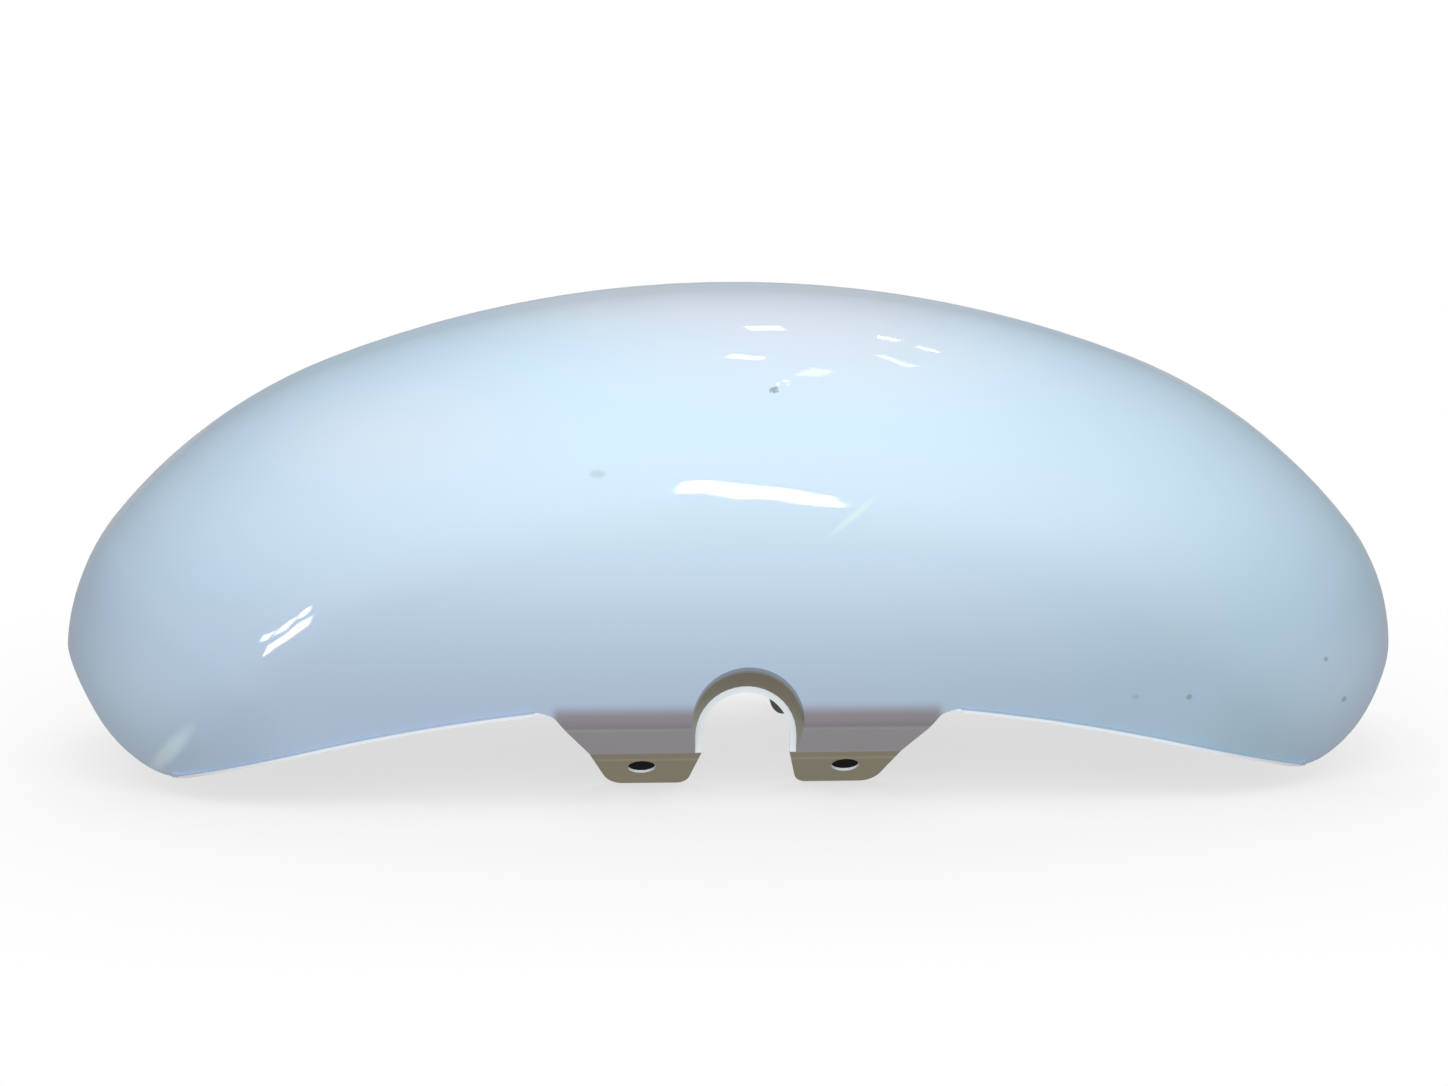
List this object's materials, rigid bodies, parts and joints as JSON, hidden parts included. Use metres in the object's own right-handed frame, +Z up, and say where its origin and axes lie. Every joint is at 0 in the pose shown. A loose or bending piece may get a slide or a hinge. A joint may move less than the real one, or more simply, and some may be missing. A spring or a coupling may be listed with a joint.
{
  "type": "scooter front mudguard",
  "caption": "Domed pressed-steel scooter front mudguard, open underneath, with rounded ends and a notched, bolted bracket on each side for the fork legs.",
  "frame": {"origin": "under the middle of the part, on the plane of the four tab edges that it stands on", "axes": "+X along the wheel, +Y across it, +Z up towards the crown"},
  "size_m": [0.4898, 0.1654, 0.1741],
  "materials": {
    "white_paint": "gloss"
  },
  "bodies": {
    "root": {"mudguard": "white_paint"}
  },
  "joints": []
}
